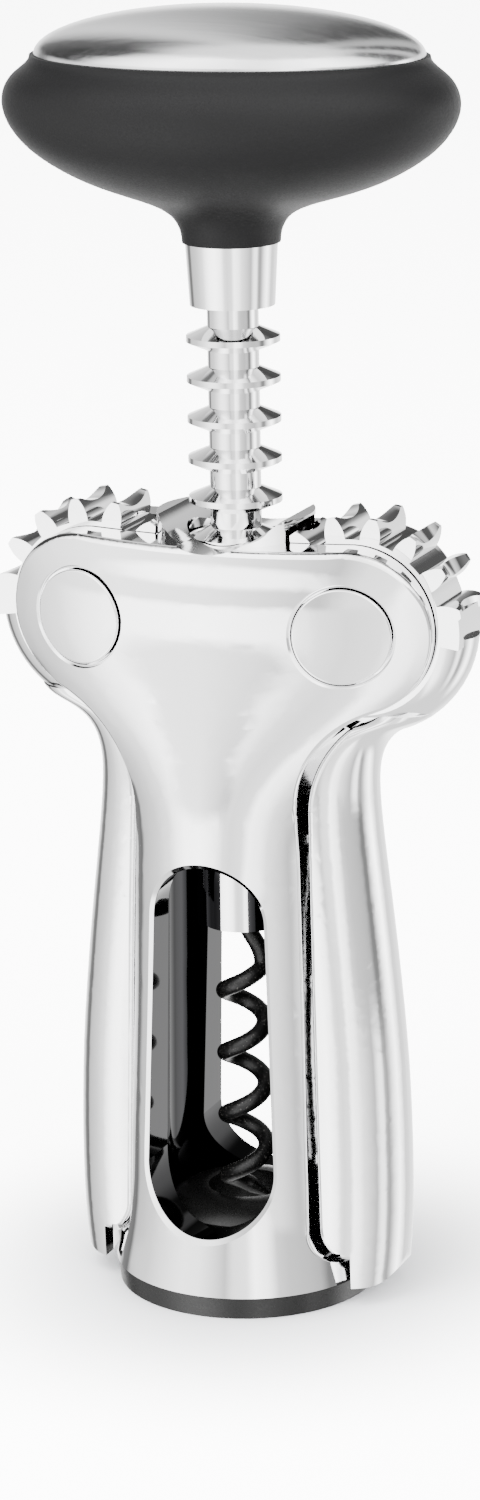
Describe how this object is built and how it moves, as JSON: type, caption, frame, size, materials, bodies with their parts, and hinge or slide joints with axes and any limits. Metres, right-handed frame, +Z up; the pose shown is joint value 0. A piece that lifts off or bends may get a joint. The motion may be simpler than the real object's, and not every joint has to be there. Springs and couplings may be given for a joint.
{
  "type": "lever corkscrew",
  "caption": "Winged corkscrew: a worm on a ring rack is turned by an oval knob, and two geared levers lift it out of a bell-shaped frame with a foil cutter in its foot.",
  "frame": {"origin": "centre of the ring that the corkscrew stands on", "axes": "+Z up along the worm, +X towards the right lever, the front window looks along -Y"},
  "size_m": [0.0794, 0.051, 0.2046],
  "materials": {
    "frame_chrome": "polished chrome plate",
    "lever_chrome": "polished chrome plate",
    "rack_chrome": "turned and chrome plated",
    "cap_chrome": "polished chrome plate",
    "steel": "plain turned steel",
    "dome_steel": "satin steel",
    "worm_coating": "black non-stick coating",
    "grip_black": "soft-touch black",
    "core_plastic": "moulded black",
    "cutter_plastic": "moulded black",
    "wheel_steel": "ground steel"
  },
  "bodies": {
    "frame": {"frame": "frame_chrome", "left_pivot_pin": "steel", "right_pivot_pin": "steel", "front_left_pivot_cap": "cap_chrome", "front_right_pivot_cap": "cap_chrome", "rear_left_pivot_cap": "cap_chrome", "rear_right_pivot_cap": "cap_chrome"},
    "left_lever": {"left_lever": "lever_chrome"},
    "right_lever": {"right_lever": "lever_chrome"},
    "rack": {"rack_sleeve": "rack_chrome"},
    "knob": {"rack_collar": "rack_chrome", "ferrule": "rack_chrome", "spindle": "steel", "worm_cross_pin": "steel", "worm": "worm_coating", "thrust_washer": "steel", "handle_grip": "grip_black", "handle_core": "core_plastic", "spindle_nut": "steel", "nut_washer": "steel", "handle_dome": "dome_steel"},
    "foil_cutter": {"foil_cutter_base": "cutter_plastic", "foil_cutter_spigot": "cutter_plastic", "wheel_axle_1": "steel", "wheel_axle_2": "steel", "wheel_axle_3": "steel", "wheel_axle_4": "steel"},
    "cutting_wheel_1": {"cutting_wheel_1": "wheel_steel"},
    "cutting_wheel_2": {"cutting_wheel_2": "wheel_steel"},
    "cutting_wheel_3": {"cutting_wheel_3": "wheel_steel"},
    "cutting_wheel_4": {"cutting_wheel_4": "wheel_steel"}
  },
  "joints": [
    {"name": "rack_slide", "type": "slide", "parent": "frame", "child": "rack", "axis": [0, 0, -1], "range_m": [0, 0.037]},
    {"name": "left_lever_hinge", "type": "hinge", "parent": "frame", "child": "left_lever", "pos_m": [-0.0219, 0, 0.1107], "axis": [0, 1, 0], "range_deg": [0, 136]},
    {"name": "right_lever_hinge", "type": "hinge", "parent": "frame", "child": "right_lever", "pos_m": [0.0219, 0, 0.1107], "axis": [0, -1, 0], "range_deg": [0, 136]},
    {"name": "knob_spin", "type": "hinge", "parent": "rack", "child": "knob", "pos_m": [0, 0, 0.1], "axis": [0, 0, 1], "continuous": true},
    {"name": "foil_cutter_slide", "type": "slide", "parent": "frame", "child": "foil_cutter", "axis": [0, 0, -1], "range_m": [0, 0.012]},
    {"name": "cutting_wheel_1_spin", "type": "hinge", "parent": "foil_cutter", "child": "cutting_wheel_1", "pos_m": [0.0123, -0.0123, 0.0023], "axis": [0, 0, 1], "continuous": true},
    {"name": "cutting_wheel_2_spin", "type": "hinge", "parent": "foil_cutter", "child": "cutting_wheel_2", "pos_m": [0.0123, 0.0123, 0.0023], "axis": [0, 0, 1], "continuous": true},
    {"name": "cutting_wheel_3_spin", "type": "hinge", "parent": "foil_cutter", "child": "cutting_wheel_3", "pos_m": [-0.0123, 0.0123, 0.0023], "axis": [0, 0, 1], "continuous": true},
    {"name": "cutting_wheel_4_spin", "type": "hinge", "parent": "foil_cutter", "child": "cutting_wheel_4", "pos_m": [-0.0123, -0.0123, 0.0023], "axis": [0, 0, 1], "continuous": true}
  ],
  "couplings": [
    {"joint": "left_lever_hinge", "follows": "rack_slide", "rad_per_m": 63.694},
    {"joint": "right_lever_hinge", "follows": "rack_slide", "rad_per_m": 63.694}
  ]
}
